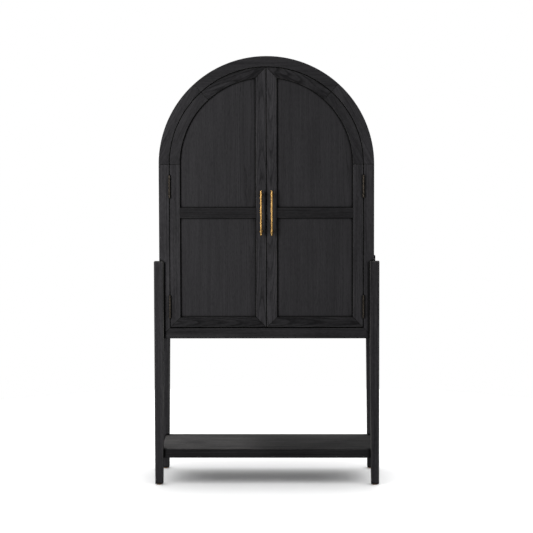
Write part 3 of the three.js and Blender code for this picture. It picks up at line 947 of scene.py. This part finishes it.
for side, sign in (("left", -1), ("right", 1)):
    for level in ("upper", "lower"):
        hinge = f"hinge_{side}_{level}"
        metal_copy(f"{hinge}_case_leaf", "brass", hinge_brass)
        metal_copy(f"{hinge}_door_leaf", "brass", hinge_brass)
        low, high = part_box(f"{hinge}_pin")
        axis_x, axis_y = (low.x + high.x) / 2, (low.y + high.y) / 2
        profile = pin_profile((high.x - low.x) / 2, high.z - low.z)
        pin = turned(f"{hinge}_domed_pin", profile, hinge_brass, 32)
        pin.data.transform(Matrix.Translation((axis_x, axis_y, low.z)))
        settle(pin, f"{hinge}_pin")
        for leaf, towards in (("case", sign), ("door", -sign)):
            leaf_low, leaf_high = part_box(f"{hinge}_{leaf}_leaf")
            screw_x = axis_x + towards * 0.3 * MM + towards * 0.4 * MM
            screw_y = leaf_high.y - 7.5 * MM
            centre_z = (leaf_low.z + leaf_high.z) / 2
            heights = [centre_z + step * 38 * MM for step in (-1, 0, 1)]
            spots = [Vector((screw_x, screw_y, height)) for height in heights]
            facing = Vector((-towards, 0, 0))
            screws = screw_heads(f"{hinge}_{leaf}_screws", spots, facing, hinge_brass)
            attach(screws, nodes[f"{hinge}_{leaf}_leaf"]["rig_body"])
print("four hinges of", round((high.z - low.z) / MM), "mm")

# %% [markdown]
# ## The catch
#
# A magnetic catch keeps the doors shut. Its housing is powder-coated: a fine pebbled bump over
# a nearly black, slightly uneven colour. Magnets and strikes are bare steel, ground along
# their height, so their grind lines are in the colour and the roughness.

# %% Two finishes of steel
catch_black, tree, shader = new_finish("catch_black")
place = add_node(tree, "TexCoord").outputs["Object"]
pebble = grain_noise(tree, place, 2600.0, 2600.0, 2.0)
dust = grain_noise(tree, place, 90.0, 90.0, 3.0)
powder = mix_colour(tree, dust, (0.012, 0.012, 0.013, 1), (0.034, 0.034, 0.036, 1))
tree.links.new(powder, shader.inputs["Base Color"])
tree.links.new(spread(tree, pebble, 0.3, 0.7, 0.40, 0.62), shader.inputs["Roughness"])
raise_relief(tree, shader, pebble, 0.05 * MM)

bare_steel, tree, shader = new_finish("bare_steel")
place = add_node(tree, "TexCoord").outputs["Object"]
grind = grain_noise(tree, place, 3000.0, 90.0, 2.0)
ground = mix_colour(tree, grind, (0.30, 0.30, 0.31, 1), (0.46, 0.46, 0.47, 1))
tree.links.new(ground, shader.inputs["Base Color"])
tree.links.new(spread(tree, grind, 0.3, 0.7, 0.28, 0.46), shader.inputs["Roughness"])
shader.inputs["Metallic"].default_value = 1.0
print("steel for the catch")

# %% [markdown]
# Behind the meeting stiles, the housing sits under a shelf and holds two round magnets, one
# for each door. Each door has a thin strike plate that meets its magnet.

# %% Housing, strikes and magnets
magnet_radius, magnet_height, magnet_edge = 4.2 * MM, 0.5 * MM, 0.25 * MM
magnet_face = rounded(magnet_radius, magnet_height, magnet_edge, False)
magnet_profile = [(0, 0), (magnet_radius, 0)] + magnet_face + [(0, magnet_height)]
metal_copy("catch_block", "housing", catch_black, radius=1.0 * MM)
catch_low, catch_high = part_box("catch_block")
for side in ("left", "right"):
    metal_copy(f"door_{side}_strike", "plate", bare_steel, radius=0.15 * MM)
    strike_low, strike_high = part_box(f"door_{side}_strike")
    magnet = turned(f"catch_magnet_{side}", magnet_profile, bare_steel)
    magnet.data.transform(upright_to_forward)
    magnet_x = (strike_low.x + strike_high.x) / 2
    magnet_z = (catch_low.z + catch_high.z) / 2
    magnet.data.transform(Matrix.Translation((magnet_x, catch_low.y, magnet_z)))
    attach(magnet, nodes["catch_block"]["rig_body"])
print("magnets", 2 * magnet_radius / MM, "mm across")

# %% [markdown]
# ## The glides
#
# Under every foot is a small round glide with a rounded lower edge. Its face is pressed felt,
# so the finish is a warm tan with a fuzzy, fibrous bump.

# %% Glides
felt, tree, shader = new_finish("tan_felt")
place = add_node(tree, "TexCoord").outputs["Object"]
fibre = grain_noise(tree, place, 2400.0, 1800.0, 4.0)
felt_colour = mix_colour(tree, fibre, (0.30, 0.19, 0.11, 1), (0.56, 0.39, 0.26, 1))
tree.links.new(felt_colour, shader.inputs["Base Color"])
shader.inputs["Roughness"].default_value = 0.95
raise_relief(tree, shader, fibre, 0.25 * MM)

for depth in ("front", "back"):
    for side in ("left", "right"):
        node = f"glide_{depth}_{side}"
        low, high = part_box(node)
        radius = (high.x - low.x) / 2
        height = high.z - low.z
        profile = [(0, 0)] + rounded(radius, 0, 1.4 * MM, True) + [(radius, height), (0, height)]
        pad = turned(f"{node}_pad", profile, felt)
        pad.data.transform(Matrix.Translation(((low.x + high.x) / 2, (low.y + high.y) / 2, low.z)))
        settle(pad, node)
print("glides", round(2 * radius / MM), "mm across")

# %% [markdown]
# ## The floor
#
# The cabinet stands on a plain pale floor, which shows only as a soft shadow under the low
# shelf. The softboxes leave it out, or they would light up that shadow: their receiver
# collection holds nothing but the floor, and is set to exclude it. The floor throws no light
# back at the cabinet either. It is stage, not part of the cabinet.

# %% Floor
bpy.ops.mesh.primitive_circle_add(vertices=96, radius=3.0, fill_type="NGON", location=(0, 0, 0))
floor = bpy.context.object
floor.name = "pale_floor"
floor_finish, tree, shader = new_finish("pale_floor")
shader.inputs["Base Color"].default_value = (0.93, 0.93, 0.93, 1.0)
shader.inputs["Roughness"].default_value = 0.35
shader.inputs["Specular IOR Level"].default_value = 0.3
floor.data.materials.append(floor_finish)
floor_only.objects.link(floor)
all_but_floor = bpy.data.collections.new("all_but_floor")
all_but_floor.objects.link(floor)
all_but_floor.collection_objects[0].light_linking.link_state = "EXCLUDE"
for light in softboxes:
    light.light_linking.receiver_collection = all_but_floor
floor.visible_diffuse = False
floor.visible_glossy = False
floor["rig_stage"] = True
print("softboxes that leave the floor out:", len(softboxes))

# %% [markdown]
# ## Check the size
#
# Nothing here may change the cabinet's size, so the script prints, axis by axis, how much the
# box of the finished pieces differs from the box of the plain solids.

# %% Size
shown_low, shown_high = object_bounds()
shown_size, cad_size = shown_high - shown_low, cad_high - cad_low
print("size change in mm", [round((a - b) / MM, 2) for a, b in zip(shown_size, cad_size)])
